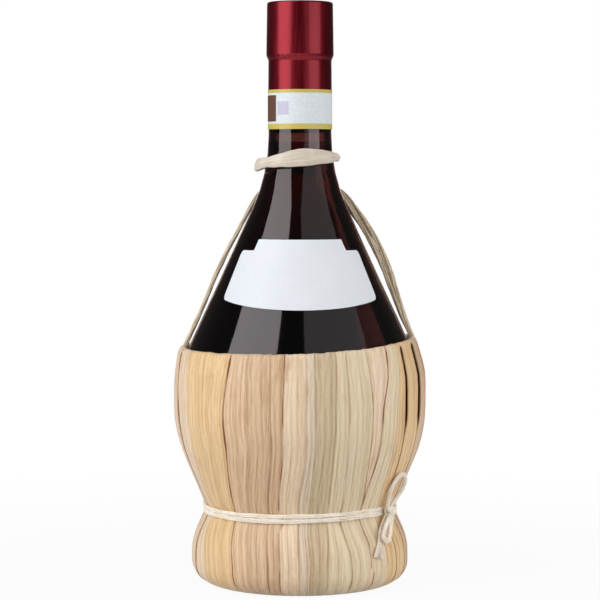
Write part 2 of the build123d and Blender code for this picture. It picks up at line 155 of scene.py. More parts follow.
# Strength of the dark line along an edge, by the edge's number, partly the leaf's red-brown edge and partly
# painted shade where blades meet; the other edges have a plain one
edge_line_and_shade_strengths = {1: 0.8, 3: 1.0, 5: 0.5, 6: 1.0, 8: 0.4, 11: 0.8, 12: 1.0}
plain_edge_line_and_shade = 0.4
# Half the width of the slits that stand open above the belly, by the edge's number
gap_edges = {14: 0.35 * mm, 15: 0.7 * mm}
gap_start_height = 66 * mm
gap_ease = 10 * mm
# Blade colours from the left side across the front, and on round the back
front_tones = "rosy rosy golden rust tan tan rosy grey olive cream cream rosy cream golden golden tan".split()
back_tones = "rosy golden tan cream rust grey golden cream tan rosy olive golden rust cream grey".split()

# Surface of a blade
blade_columns = 20
lap_over = 1.1 * mm
lap_under = 0.8 * mm
lap_step = 0.4 * mm
edge_wander = 0.4 * mm
tucked_height = 2 * mm
tucked_share = 0.4
flat_foot_height = 1 * mm
flat_foot_ease = 4 * mm
fold_relief_share = 0.25
blade_crown = 0.22 * mm
pleat_width = 7 * mm
pleat_depth = 0.1 * mm
crinkle = 0.12 * mm
swell = 0.3 * mm
gather_depth = 0.25 * mm
gather_reach = 11 * mm

# Pad inside the foot
pad_hole_radius = 12 * mm
pad_bed_radius = 38 * mm
pad_side_height = 7.5 * mm
pad_lip_radius = 30.4 * mm
pad_seat_radius = 27.6 * mm
pad_seat_height = 16.2 * mm
pad_core = (30 * mm, 10 * mm)
pad_ring_width = 4 * mm
pad_groove = 0.45 * mm
pad_strands = 45
pad_slant = 0.9 / mm
pad_mesh_step = 1.2 * mm

# Waist string and bow; the knot's angle is in degrees from the front
string_path_radius = 42.45 * mm
string_pitch = 2.0 * mm
string_turns = 2
string_steps_per_turn = 130
string_wave = 0.35 * mm
string_wander = 0.2 * mm
knot_angle = 58.5
knot_radius = 45.2 * mm
knot_height = 34.3 * mm
knot_half_depth = 1.0 * mm
knot_half_height = 1.5 * mm
knot_half_length = 1.5 * mm
knot_turns = 3
knot_steps_per_turn = 30

# Neck loop: broad in front and drooping at the left, with angles in degrees from the front
loop_inner_radius = 15.5 * mm
loop_gap = 0.35 * mm
loop_height = 186.0 * mm
loop_slope = 1.3 * mm
loop_half_height = 1.6 * mm
loop_half_thickness = 1.45 * mm
loop_shift = Vector((-0.6 * mm, 0, 0))
broad_angle = 6
broad_reach = 52
broad_extra = 2.2 * mm
broad_thinning = 0.75 * mm
broad_rise = 1.0 * mm
droop_angle = -95
droop_reach = 30
droop_extra = 1.2 * mm
droop_thickening = 0.5 * mm
droop_drop = 0.7 * mm
loop_top_ripple = 0.25 * mm
loop_bottom_ripple = 0.35 * mm
loop_face_ripple = 0.25 * mm
loop_fibre_ripple = 0.14 * mm
loop_lean_share = 0.12

# Cords: how many fibres, how far from the middle, their radius, and the length of one turn
hoop_cord = {"count": 3, "spread": 0.25 * mm, "thick": 0.45 * mm, "twist": 60 * mm}
string_cord = {"count": 7, "spread": 0.7 * mm, "thick": 0.3 * mm, "twist": 45 * mm, "flat": 0.3}
bow_cord = {"count": 7, "spread": 0.75 * mm, "thick": 0.36 * mm, "twist": 30 * mm, "flat": 0.5}
tail_cord = {"count": 14, "spread": 0.85 * mm, "thick": 0.24 * mm, "twist": 50 * mm, "flat": 0.4,
             "ends": (0.8, 2.6)}
knot_cord = {"count": 6, "spread": 0.5 * mm, "thick": 0.34 * mm, "twist": 8 * mm}
left_cord = {"count": 5, "spread": 0.55 * mm, "thick": 0.5 * mm, "twist": 70 * mm, "seed": 0.5}
right_cord = {"count": 8, "spread": 0.7 * mm, "thick": 0.55 * mm, "twist": 110 * mm, "seed": 1.4,
              "parting": 1.2 * mm}

# Cord routes: angle from the front in degrees, distance from the axis and height in millimetres
strap_route_left = (
    (-207, 16.6, 184.9), (-190, 17.3, 181.6), (-173, 18.3, 178.9), (-153, 19.0, 176.6),
    (-131, 19.8, 174.0), (-113, 21.6, 169.5), (-102, 24.6, 161.0), (-97, 30.4, 150.0),
    (-95, 36.0, 138.5), (-93, 41.0, 126.5), (-92, 45.4, 115.5), (-91, 51.0, 103.8),
)
strap_route_right = (
    (208, 17.0, 184.7), (192, 18.2, 181.4), (175, 18.9, 178.0), (154, 19.3, 176.0),
    (134, 20.2, 173.8), (116, 21.9, 170.0), (103, 26.0, 162.0), (97, 32.2, 152.0),
    (94, 37.8, 140.0), (92, 42.4, 126.5), (91, 46.0, 115.5), (90, 50.2, 106.8),
)
bow_loop_route = (
    (57.3, 45.2, 36.2), (55.6, 46.3, 41.0), (56.0, 48.7, 47.0), (58.5, 50.4, 50.6),
    (62.0, 51.6, 50.2), (63.6, 51.0, 46.2), (61.8, 48.4, 41.2), (59.7, 45.6, 36.2),
)
bow_fold_route = (
    (58.2, 46.0, 32.4), (53.5, 46.7, 30.0), (49.2, 47.8, 27.0), (46.8, 48.8, 24.2),
    (50.6, 49.2, 22.0), (53.6, 48.4, 26.0), (56.4, 47.2, 29.6), (60.2, 46.2, 32.2),
)
bow_tail_route = (
    (57.0, 44.2, 32.3), (53.0, 44.6, 29.3), (49.2, 45.6, 25.6), (46.2, 47.2, 21.5),
    (44.0, 48.6, 15.8),
)

# Studio, in metres and degrees
floor_half_width, floor_front, floor_back = 0.5, -2.2, 1.6
backdrop_height, backdrop_bend, backdrop_step = 2.4, 0.8, 0.4
# Painted shade round the flask: how far the floor's white fades, and the share of white left next to the
# flask
painted_shade_reach = (0.08, 0.42)
painted_shade_white_share = 0.94
world_diffuse_strength = 0.27
world_mirrored_strength = 0.05
camera_place = (0, -0.99, 0.1816)
camera_tilt = 3.3
camera_view_angle = 15.2
camera_sensor = 36
lamp_colour = (0.97, 0.98, 1.0)
# Name, place, height of the point on the axis that it faces, width and height, strength, seen in mirrors
softboxes = (
    ("Key_softbox", (-0.95, -0.62, 0.6), 0.15, (1.12, 2.0), 2.8, True),
    ("Fill_softbox", (1.2, -1.2, 1.1), 0.15, (2.3, 2.2), 0.5, True),
    ("Side_softbox", (1.25, -0.95, 0.32), 0.2, (1.2, 0.5), 1.8, True),
    ("Right_bounce", (1.3, -0.1, 0.45), 0.08, (1.2, 0.8), 2.3, False),
)


# Shared geometry
def around(angle, radius, height):
    """Point at an angle in degrees from the front, a distance from the axis and a height."""
    return Vector((radius * sin(radians(angle)), -radius * cos(radians(angle)), height))


def rounded(corners, radii, turn_step=radians(7)):
    """Points of a section line through corners, with a tangent arc at each inner corner."""
    line = [Vector(corners[0])]
    for before, here, after, radius in zip(corners, corners[1:], corners[2:], radii):
        into = (Vector(here) - Vector(before)).normalized()
        out = (Vector(after) - Vector(here)).normalized()
        turn = atan2(into.x * out.y - into.y * out.x, into.dot(out))
        side = 1 if turn > 0 else -1
        start = Vector(here) - into * radius * tan(abs(turn) / 2)
        centre = start + Vector((-into.y, into.x)) * radius * side
        count = max(2, ceil(abs(turn) / turn_step))
        spoke = start - centre
        for step in range(count + 1):
            angle = turn * step / count
            swung = Vector((spoke.x * cos(angle) - spoke.y * sin(angle),
                            spoke.x * sin(angle) + spoke.y * cos(angle)))
            line.append(centre + swung)
    line.append(Vector(corners[-1]))
    return line


def inset(corners, distance):
    """Corners of an open line whose runs all move to the right of their direction."""
    runs = [(Vector(b) - Vector(a)).normalized() for a, b in zip(corners, corners[1:])]
    sides = [Vector((run.y, -run.x)) for run in runs]
    moved = [Vector(corners[0]) + sides[0] * distance]
    for corner, a, b in zip(corners[1:-1], sides, sides[1:]):
        moved.append(Vector(corner) + (a + b) * (distance / (1 + a.dot(b))))
    moved.append(Vector(corners[-1]) + sides[-1] * distance)
    return moved


def finer(line, step):
    """The same line with its long runs divided."""
    points = [line[0]]
    for a, b in zip(line, line[1:]):
        count = max(1, ceil((b - a).length / step))
        points += [a.lerp(b, index / count) for index in range(1, count + 1)]
    return points


def eased(value):
    """A value held between 0 and 1, with a soft start and end."""
    value = min(max(value, 0), 1)
    return value * value * (3 - 2 * value)


def ripple(*place):
    """Gentle noise between -1 and 1 at up to three coordinates."""
    return noise.noise(Vector((*place, 0.5, 0.5, 0.5)[:3]))


# Modelling steps
def deselect():
    """Nothing stays selected before a new piece is made."""
    bpy.ops.object.select_all(action="DESELECT")


def pick(piece):
    """Only this piece is selected and active."""
    deselect()
    bpy.context.view_layer.objects.active = piece
    piece.select_set(True)


def edit_all():
    """Edit mode, with the whole mesh selected."""
    bpy.ops.object.mode_set(mode="EDIT")
    bpy.ops.mesh.select_all(action="SELECT")


def chain(name, points):
    """A wire drawn vertex by vertex through points."""
    deselect()
    bpy.ops.mesh.primitive_plane_add(size=mm, location=points[0])
    wire = bpy.context.object
    wire.name = name
    bpy.ops.object.transform_apply(location=True)
    edit_all()
    bpy.ops.mesh.merge(type="CENTER")
    for a, b in zip(points, points[1:]):
        bpy.ops.mesh.extrude_vertices_move(TRANSFORM_OT_translate={"value": b - a})
    bpy.ops.object.mode_set(mode="OBJECT")
    return wire


def apply_modifiers(piece):
    """Applies every modifier of a piece."""
    pick(piece)
    for modifier in list(piece.modifiers):
        bpy.ops.object.modifier_apply(modifier=modifier.name)


def smooth(piece, angle=crease):
    """Smooth shading, with creases kept."""
    pick(piece)
    bpy.ops.object.shade_smooth_by_angle(angle=angle)


def turned(name, line, steps=144):
    """A round piece spun from a closed or axis-to-axis section line of (radius, height) points."""
    piece = chain(name, [Vector((point[0], 0, point[1])) for point in line])
    screw = piece.modifiers.new("Spin", "SCREW")
    screw.steps = screw.render_steps = steps
    screw.use_merge_vertices = True
    screw.merge_threshold = merge_distance
    screw.use_normal_calculate = True
    apply_modifiers(piece)
    edit_all()
    bpy.ops.mesh.remove_doubles(threshold=merge_distance)
    bpy.ops.mesh.normals_make_consistent(inside=False)
    bpy.ops.object.mode_set(mode="OBJECT")
    smooth(piece)
    return piece


def sheet(name, across, along):
    """A flat sheet from -1 to 1 with its UV map, ready to be shaped."""
    deselect()
    bpy.ops.mesh.primitive_grid_add(x_subdivisions=across, y_subdivisions=along, size=2, calc_uvs=True)
    piece = bpy.context.object
    piece.name = name
    return piece


def thicken(piece, thickness, offset):
    """A shaped sheet gets its wall, outwards for an offset of 1 and inwards for -1."""
    wall = piece.modifiers.new("Wall", "SOLIDIFY")
    wall.thickness = thickness
    wall.offset = offset
    apply_modifiers(piece)
    smooth(piece, sheet_crease)


def in_scene(name, data):
    """A new object of the scene for a curve, a lamp or the camera."""
    made = bpy.data.objects.new(name, data)
    bpy.context.scene.collection.objects.link(made)
    return made


def finish(piece, material, slot, *nodes, body="bottle"):
    """The piece gets its material, stands for its CAD nodes, if any, and rides its body; slot is not used."""
    piece.data.materials.clear()
    piece.data.materials.append(material)
    if nodes:
        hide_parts(*nodes)
    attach(piece, body)


# Materials
def colour(red, green, blue):
    """A screen colour of 0 to 255 as the shader's linear one."""
    def linear(value):
        value = value / 255
        return value / 12.92 if value <= 0.04045 else ((value + 0.055) / 1.055) ** 2.4
    return (linear(red), linear(green), linear(blue), 1)


class Shader:
    """The node tree of a material or a world, built a node at a time."""

    def __init__(self, owner, surface, **sockets):
        self.owner = owner
        owner.use_nodes = True
        self.nodes = owner.node_tree.nodes
        self.surface = self.nodes[surface]
        self.set(self.surface, **sockets)

    def feed(self, socket, value):
        """A link or a constant into one socket."""
        if isinstance(value, bpy.types.NodeSocket):
            self.owner.node_tree.links.new(value, socket)
        else:
            socket.default_value = value

    def set(self, node, **sockets):
        """Links or constants into named sockets."""
        for label, value in sockets.items():
            self.feed(node.inputs[label.replace("_", " ")], value)
        return node

    def add(self, kind, settings=(), **sockets):
        """A new node with its settings and sockets."""
        node = self.nodes.new("ShaderNode" + kind)
        for label, value in dict(settings).items():
            setattr(node, label, value)
        return self.set(node, **sockets)

    def coords(self, kind, scale=(1, 1, 1), place=(0, 0, 0)):
        """Object or UV coordinates, stretched and moved."""
        source = self.add("TexCoord").outputs[kind]
        return self.add("Mapping", Vector=source, Scale=scale, Location=place).outputs["Vector"]

    def split(self, vector):
        """X, Y and Z of a vector."""
        return self.add("SeparateXYZ", Vector=vector).outputs

    def attribute(self, label):
        """X, Y and Z of an attribute of the mesh."""
        return self.split(self.add("Attribute", {"attribute_name": label}).outputs["Vector"])

    def noise(self, kind, scale, stretch=(1, 1, 1), place=(0, 0, 0), detail=4.0, roughness=0.55):
        """Noise on Object or UV coordinates, fine by its scale and its stretch."""
        vector = self.coords(kind, stretch, place)
        node = self.add("TexNoise", Vector=vector, Scale=scale, Detail=detail, Roughness=roughness)
        return node.outputs["Fac"]

    def ramp(self, factor, *stops):
        """Colours by factor: each stop is a place and a colour."""
        node = self.add("ValToRGB", Fac=factor)
        elements = node.color_ramp.elements
        elements[0].position, elements[0].color = stops[0]
        elements[1].position, elements[1].color = stops[-1]
        for place, tone in stops[1:-1]:
            elements.new(place).color = tone
        return node.outputs["Color"]

    def range(self, value, low, high, to_low=0.0, to_high=1.0):
        """One range eased into another."""
        node = self.add("MapRange", {"interpolation_type": "SMOOTHSTEP"}, Value=value)
        for label, number in (("From Min", low), ("From Max", high), ("To Min", to_low), ("To Max", to_high)):
            node.inputs[label].default_value = number
        return node.outputs["Result"]

    def maths(self, operation, *values):
        node = self.add("Math", {"operation": operation})
        for socket, value in zip(node.inputs, values):
            self.feed(socket, value)
        return node.outputs["Value"]

    def mix(self, factor, a, b):
        """Two colours mixed; the node's sockets for colours are numbers 6, 7 and 2."""
        node = self.add("Mix", {"data_type": "RGBA"})
        for socket, value in ((node.inputs[0], factor), (node.inputs[6], a), (node.inputs[7], b)):
            self.feed(socket, value)
        return node.outputs[2]

    def finished(self, **sockets):
        """The material, once the last sockets of its surface are set."""
        self.set(self.surface, **sockets)
        return self.owner

    def fill_with(self, **absorption):
        """Colour that deepens with the way through the piece."""
        depth = self.add("VolumeAbsorption", **absorption)
        self.feed(self.nodes["Material Output"].inputs["Volume"], depth.outputs["Volume"])

    def bump(self, height, distance, strength=1.0, normal=None):
        node = self.add("Bump", Height=height, Distance=distance, Strength=strength)
        if normal is not None:
            self.set(node, Normal=normal)
        return node.outputs["Normal"]


def principled(name, **sockets):
    """The node tree of a new material, with the first sockets of its surface set."""
    return Shader(bpy.data.materials.new(name), "Principled BSDF", **sockets)


def make_straw(name, pale, deep):
    """Dried leaf: lengthwise fibres in strips, brown blotches, and red-brown edges that are partly painted
    shade where blades meet.
    """
    s = principled(name, Specular_IOR_Level=0.4, Sheen_Weight=0.1, Sheen_Roughness=0.5)
    fine = s.noise("UV", 1.0, (3.6, 14, 1), detail=5, roughness=0.7)
    strips = s.noise("UV", 1.0, (0.85, 1.1, 1), (3.3, 0, 0), detail=3, roughness=0.4)
    threads = s.noise("UV", 1.0, (1.7, 1.1, 1), (9.1, 4, 0), detail=2)
    blotch = s.noise("Object", 75, (1, 1, 0.5), detail=6, roughness=0.65)
    blend = s.maths("ADD", s.maths("MULTIPLY", fine, 0.6), s.maths("MULTIPLY", strips, 0.4))
    middling = [(a + b) / 2 for a, b in zip(pale, deep)]
    bright = [min(1, value * 1.12) for value in pale]
    fibres = s.ramp(blend, (0.36, deep), (0.46, middling), (0.54, pale), (0.66, bright))
    stained = s.mix(s.range(blotch, 0.52, 0.74, 0, 0.45), fibres, colour(180, 138, 98))
    veined = s.mix(s.range(threads, 0.66, 0.72, 0, 0.45), stained, colour(160, 118, 78))
    distance = s.attribute("edge_distance")
    tint = s.attribute("edge_line_and_shade")
    along = s.range(s.noise("UV", 1.0, (0.2, 9, 1)), 0.35, 0.6, 0.35, 1.0)
    # Dark red-brown along each long edge: partly the leaf's own edge colour, partly painted shade where
    # blades meet.
    edge_lines_and_shade = 0.0
    for axis in "XY":
        near = s.range(distance[axis], 0.2, 0.7, 1.0, 0.0)
        edge_lines_and_shade = s.maths("MAXIMUM", s.maths("MULTIPLY", near, tint[axis]), edge_lines_and_shade)
    toned = s.mix(s.maths("MULTIPLY", edge_lines_and_shade, along), veined, colour(142, 78, 46))
    coarse = s.bump(strips, 0.25 * mm, 0.5)
    return s.finished(
        Base_Color=toned,
        Roughness=s.range(fine, 0.3, 0.7, 0.4, 0.6), Normal=s.bump(fine, 0.14 * mm, 0.7, coarse))


def make_string_fibre():
    """Loosely spun pale plant fibre of the waist string and the bow."""
    s = principled("String_fibre", Specular_IOR_Level=0.25, Sheen_Weight=0.3, Sheen_Roughness=0.6)
    pale, deep = colour(250, 240, 226), colour(222, 206, 184)
    fuzz = s.noise("Object", 1400)
    patch = s.noise("Object", 190, detail=3)
    return s.finished(
        Base_Color=s.ramp(s.mix(0.5, fuzz, patch), (0.32, deep), (0.62, pale)),
        Roughness=s.range(fuzz, 0.3, 0.7, 0.7, 0.9), Normal=s.bump(fuzz, 0.1 * mm, 0.7))


def make_leaf_cord(name, pale, deep, kind, stretch):
    """Twisted or flattened leaf, whose fibres run where the coordinates are stretched least."""
    s = principled(name, Specular_IOR_Level=0.35, Sheen_Weight=0.1, Sheen_Roughness=0.5)
    fibre = s.noise(kind, 1.0, stretch, detail=5, roughness=0.6)
    patch = s.noise("Object", 130)
    return s.finished(
        Base_Color=s.ramp(s.mix(0.4, fibre, patch), (0.32, deep), (0.62, pale)),
        Roughness=s.range(fibre, 0.3, 0.7, 0.5, 0.7), Normal=s.bump(fibre, 0.25 * mm, 0.7))


def make_glass():
    """Dark bottle glass with faint waves; it darkens with the length that light travels in it."""
    s = principled("Dark_bottle_glass", Base_Color=(0.45, 0.38, 0.36, 1), Roughness=0.06, IOR=1.58,
                   Transmission_Weight=1.0)
    waves = s.noise("Object", 32, (1, 1, 0.4), detail=2)
    s.fill_with(Color=(0.55, 0.08, 0.06, 1), Density=480.0)
    return s.finished(Normal=s.bump(waves, 0.25 * mm, 0.25))


def make_wine():
    """Deep red wine, which lets light through only where it is thin."""
    s = principled("Red_wine", Base_Color=(0.9, 0.5, 0.5, 1), Roughness=0, IOR=1.34, Transmission_Weight=1.0)
    s.fill_with(Color=(0.82, 0.04, 0.06, 1), Density=300.0)
    return s.finished()


def make_foil():
    """Wine-red lacquered foil with soft dents."""
    s = principled("Wine_red_foil", Metallic=0.9, Coat_Weight=0.25, Coat_Roughness=0.12)
    deep, pale = (0.20, 0.006, 0.014, 1), (0.25, 0.01, 0.02, 1)
    dents = s.noise("Object", 210, (1, 1, 0.35), detail=3)
    grain = s.noise("Object", 1500, (1, 1, 0.05), detail=2)
    return s.finished(
        Base_Color=s.ramp(grain, (0.3, deep), (0.7, pale)),
        Roughness=s.range(grain, 0.3, 0.7, 0.3, 0.4), Normal=s.bump(dents, 0.25 * mm, 0.35))


def make_label_paper():
    """Smooth off-white label paper, left bare."""
    s = principled("Label_paper", Specular_IOR_Level=0.4)
    pulp = s.noise("Object", 900, detail=5)
    cloud = s.noise("Object", 60, detail=3)
    deep, pale = colour(214, 217, 221), colour(223, 226, 230)
    return s.finished(
        Base_Color=s.ramp(s.mix(0.5, pulp, cloud), (0.3, deep), (0.7, pale)),
        Roughness=s.range(pulp, 0.3, 0.7, 0.45, 0.6), Normal=s.bump(pulp, 0.03 * mm, 0.4))


def make_band_paper():
    """Pale band with gold edges, a plain brown panel and a plain lilac block."""
    low, high = (corner.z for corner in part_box("neck_band"))
    s = principled("Band_paper", Specular_IOR_Level=0.4)
    x, y, z = s.split(s.coords("Object"))
    pulp = s.noise("Object", 1100)
    paper = s.ramp(pulp, (0.3, colour(205, 211, 214)), (0.7, colour(220, 225, 227)))
    front = s.maths("LESS_THAN", y, 0.0)

    def between(value, start, end):
        return s.maths("MULTIPLY", s.maths("GREATER_THAN", value, start), s.maths("LESS_THAN", value, end))

    def front_patch(sides, margins):
        across = s.maths("MULTIPLY", between(x, *sides), front)
        return s.maths("MULTIPLY", across, between(z, low + margins[0], high - margins[1]))

    low_stripe = s.maths("LESS_THAN", z, low + stripe_low_width)
    high_stripe = s.maths("GREATER_THAN", z, high - stripe_high_width)
    stripes = s.maths("ADD", low_stripe, high_stripe)
    shown = s.mix(front_patch(block_sides, block_margins), paper, colour(192, 188, 206))
    shown = s.mix(front_patch(panel_sides, panel_margins), shown, colour(98, 66, 50))
    return s.finished(
        Base_Color=s.mix(stripes, shown, colour(196, 178, 92)),
        Roughness=s.range(stripes, 0, 1, 0.5, 0.35), Normal=s.bump(pulp, 0.03 * mm, 0.4))


def make_cork():
    """Natural cork with dark pores."""
    s = principled("Natural_cork", Specular_IOR_Level=0.2)
    pores = s.add("TexVoronoi", Vector=s.coords("Object", (1, 1, 0.6)), Scale=520.0).outputs["Distance"]
    bark = s.noise("Object", 260, detail=5)
    body = s.ramp(bark, (0.3, colour(176, 130, 86)), (0.7, colour(206, 164, 118)))
    return s.finished(
        Base_Color=s.mix(s.range(pores, 0.0, 0.22, 0.8, 0), body, colour(92, 58, 36)),
        Roughness=s.range(bark, 0.3, 0.7, 0.75, 0.92), Normal=s.bump(pores, 0.2 * mm, 0.5))


straw_tones = {}
for tone, pale, deep in (
    ("golden", (228, 196, 148), (194, 152, 102)),
    ("rosy", (232, 208, 178), (200, 166, 130)),
    ("rust", (222, 191, 156), (178, 138, 100)),
    ("tan", (214, 183, 148), (172, 134, 98)),
    ("grey", (222, 203, 179), (184, 160, 132)),
    ("olive", (206, 186, 152), (168, 142, 108)),
    ("cream", (226, 207, 175), (198, 172, 134)),
):
    straw_tones[tone] = make_straw(f"Straw_{tone}", colour(*pale), colour(*deep))
string_fibre = make_string_fibre()
loop_leaf = make_leaf_cord("Loop_leaf", colour(222, 211, 195), colour(180, 163, 142), "UV", (5, 26, 1))
handle_leaf = make_leaf_cord("Handle_leaf", colour(220, 203, 176), colour(176, 152, 122),
                             "Object", (1300, 1300, 90))
dark_glass = make_glass()
foil = make_foil()


# Glass and wine
def body_corners():
    """Outside corners of the glass from the neck down to the middle of the base."""
    slope_share = (belly_radius - glass_waist_radius) / (belly_corner_height - waist_height)
    heel_radius = belly_radius - slope_share * (belly_corner_height - glass_base_height)
    return [
        (neck_radius, neck_shoulder_height), (neck_radius, flare_corner_height),
        (belly_radius, shoulder_corner_height), (belly_radius, belly_corner_height),
        (heel_radius, glass_base_height), (0, glass_base_height),
    ]


def inner_line(distance):
    """Section line moved in from the outside of the glass, over a thicker base."""
    corners = inset(body_corners(), distance)
    corners[-1] = Vector((0, corners[-1].y + base_extra))
    corners[-2] = Vector((corners[-2].x, corners[-1].y))
    signs = (1, -1, -1, -1)
    return rounded(corners, [radius + sign * distance for radius, sign in zip(glass_rounds, signs)])


def make_bottle():
    """The glass: outside, lip, bore and inside in one section line."""
    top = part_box("flask")[1].z
    lip_bottom = top - lip_height
    outside = rounded(body_corners()[:-1] + [(punt_radius, glass_base_height)], glass_rounds)
    punt = [Vector((punt_radius * share, glass_base_height + punt_depth * (1 - share**2)))
            for share in punt_shares]
    lip = rounded([
        (neck_radius, neck_shoulder_height), (neck_top_radius, lip_bottom - lip_undercut),
        (lip_low_radius, lip_bottom), (lip_top_radius, top), (bore_radius, top),
        (bore_radius, top - bore_length),
    ], (lip_undercut, lip_round, lip_round, lip_round))
    inside = inner_line(glass_wall)
    bottle = turned("Bottle_glass", list(reversed(outside + punt)) + lip[1:] + inside)
    finish(bottle, dark_glass, "bottle_glass", "flask")


def make_wine_fill():
    """The wine, up to its level in the neck."""
    line = [point for point in inner_line(glass_wall + wine_gap) if point.y < wine_level]
    surface = [Vector((0, wine_level)), Vector((line[0].x, wine_level))]
    fill = turned("Wine_fill", surface + line)
    finish(fill, make_wine(), "red_wine", "wine")


# Foil
def make_foil_cap():
    """The loose top of the capsule with its turned-in edge, open over the disc."""
    low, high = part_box("capsule_cap")
    low_radius = high.x + cap_low_extra
    top_radius = high.x - cap_top_inset
    opening = top_radius - cap_top_width
    edge = low.z - cap_edge_drop
    outside = rounded([
        (low_radius - cap_edge_turn, edge), (low_radius, edge + cap_edge_height),
        (top_radius, high.z), (opening, high.z),
    ], (cap_edge_round, cap_top_round))
    inside = rounded([
        (opening, high.z - foil_thickness), (top_radius - foil_thickness, high.z - foil_thickness),
        (low_radius - cap_edge_turn - foil_thickness, edge),
    ], (cap_inner_round,))
    cap = turned("Foil_cap", outside + inside + [outside[0]], foil_steps)
    finish(cap, foil, "wine_red_foil", "capsule_cap", body="capsule")


def make_foil_disc():
    """The disc in the top of the cap, with a ridge pressed round it."""
    low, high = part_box("capsule_disc")
    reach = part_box("capsule_cap")[1].x - cap_top_inset - foil_thickness - disc_gap
    top = rounded([
        (0, high.z), (disc_ridge_radius - disc_ridge_half_width, high.z),
        (disc_ridge_radius, high.z + disc_ridge_height),
        (disc_ridge_radius + disc_ridge_half_width, high.z), (reach, high.z),
    ], disc_rounds)
    disc = turned("Foil_disc", top + [Vector((reach, low.z)), Vector((0, low.z))], foil_steps)
    finish(disc, foil, "wine_red_foil", "capsule_disc", body="capsule")


def make_foil_skirt():
    """The foil left on the neck, drawn in under the lip."""
    low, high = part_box("capsule_skirt")
    waist = neck_top_radius + foil_gap
    foot = waist + (neck_radius - neck_top_radius) * 2 / 3
    inner = [(foot, low.z), (waist, high.z - lip_undercut), (lip_low_radius + foil_gap, high.z)]
    outside = rounded([(radius + foil_thickness, height) for radius, height in inner], (lip_undercut,))
    inside = rounded(list(reversed(inner)), (lip_undercut,))
    skirt = turned("Foil_skirt", outside + inside + [outside[0]], foil_steps)
    finish(skirt, foil, "wine_red_foil", "capsule_skirt")


# Label
def make_label():
    """Bare paper label on the cone: raised middle, clipped shoulders and a lower edge that sags in front."""
    low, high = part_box("front_label")
    label = sheet("Front_label_paper", label_columns, label_rows)
    for vertex in label.data.vertices:
        angle = label_half_angle * vertex.co.x
        share = (vertex.co.y + 1) / 2
        past_tab = (abs(angle) - label_tab_half_angle + label_tab_ease / 2) / label_tab_ease
        bottom = low.z + label_sag * (angle / label_half_angle) ** 2
        top = high.z - label_tab_height * eased(past_tab)
        from_side = (label_half_angle - abs(angle)) * label_degree_width
        if from_side < label_corner:
            trim = label_corner - sqrt(label_corner**2 - (label_corner - from_side) ** 2)
            bottom += trim
            top -= trim
        height = bottom + (top - bottom) * share + label_rise
        radius = belly_radius - cone_share * (height - shoulder_corner_height)
        vertex.co = around(angle, radius + label_gap, height)
    thicken(label, label_thickness, 1)
    finish(label, make_label_paper(), "label_paper", "front_label")


# Straw blades
def straw_path():
    """Stations from the tucked end to the tail in the rim: a point, a normal and whether it is folded in."""
    cone_lean = atan(cone_share)
    rise = rim_centre[1] - straw_belly_high
    run = rim_centre[0] - straw_belly_radius
    start_normal = atan2(rise, run) - asin(rim_fold_radius / sqrt(rise**2 + run**2)) - pi / 2
    end_normal = pi + cone_lean
    fold = []
    for step in range(rim_fold_steps + 1):
        angle = start_normal + (end_normal - start_normal) * step / rim_fold_steps
        fold.append(Vector((rim_centre[0] + rim_fold_radius * cos(angle),
                            rim_centre[1] + rim_fold_radius * sin(angle))))
    body = rounded([
        (tuck_radius, 0), (foot_radius, 0), (foot_radius, foot_flare_height), (waist_radius, waist_height),
        (straw_belly_radius, straw_belly_low), (straw_belly_radius, straw_belly_high), fold[0],
    ], (foot_round, foot_flare_round, waist_round, straw_belly_round, straw_shoulder_round))
    tail = fold[-1] + Vector((rim_tail * sin(cone_lean), -rim_tail * cos(cone_lean)))
    outer = finer(body, station_step)
    line = outer + fold[1:] + finer([fold[-1], tail], station_step)[1:]
    stations = []
    for index, point in enumerate(line):
        ahead = line[min(index + 1, len(line) - 1)]
        behind = line[max(index - 1, 0)]
        heading = (ahead - behind).normalized()
        stations.append((point, Vector((heading.y, -heading.x)), index >= len(outer)))
    return stations


def rim_lift(angle):
    """How far the rim stands above its mean height: high at the right, low in front and at the left."""
    across = sin(radians(angle))
    ahead = cos(radians(angle))
    return (rim_right_rise * max(0, across) ** 1.4 - rim_left_drop * max(0, -across)
            - rim_front_drop * max(0, ahead))


def edge_angle(edge, point, inside_rim):
    """Angle of an edge between two blades at a point of the section."""
    rim, belly, waist, foot = edge
    height = point.y
    if inside_rim:
        return rim
    if height > straw_belly_middle:
        share = eased((height - straw_belly_middle) / (rim_centre[1] - straw_belly_middle))
        return belly + (rim - belly) * share
    if height > waist_height:
        share = eased((height - waist_height) / (straw_belly_low - waist_height))
        return waist + (belly - waist) * share
    return foot + (waist - foot) * eased((height - foot_round) / (waist_height - foot_round))


def all_edges():
    """Edges between blades round the whole flask; the back ones are spaced by a steady rule."""
    edges = list(front_edges)
    first, last = front_edges[-1][0], front_edges[0][0] + 360
    spacing = (last - first) / back_blade_count
    for step in range(1, back_blade_count):
        middle = first + spacing * step + back_wander * sin(2.4 * step)
        edges.append(tuple(middle + back_slant * sin(3.1 * step + place) for place in (0, 1, 2, 3)))
    edges.append((last,) * 4)
    return edges


def write_edge_notes(blade, width, shares, left_tint, right_tint):
    """Distances to both long edges, how strongly each is darkened by its red-brown line and painted shade,
    and a map in millimetres across.
    """
    mesh = blade.data
    distance = mesh.attributes.new("edge_distance", "FLOAT_VECTOR", "POINT")
    tint = mesh.attributes.new("edge_line_and_shade", "FLOAT_VECTOR", "POINT")
    for index, share in enumerate(shares):
        distance.data[index].vector = (share * width, (1 - share) * width, 0)
        tint.data[index].vector = (left_tint, right_tint, 0)
    for loop, corner in zip(mesh.loops, mesh.uv_layers[0].data):
        corner.uv = (shares[loop.vertex_index] * width, corner.uv.y)


def edge_reach(edge, lap, tuck, opened):
    """How far a blade passes an edge: by its lap, or by less than nothing where a slit stands open."""
    if edge not in gap_edges:
        return lap * tuck
    return lap * tuck * (1 - opened) - gap_edges[edge] * opened


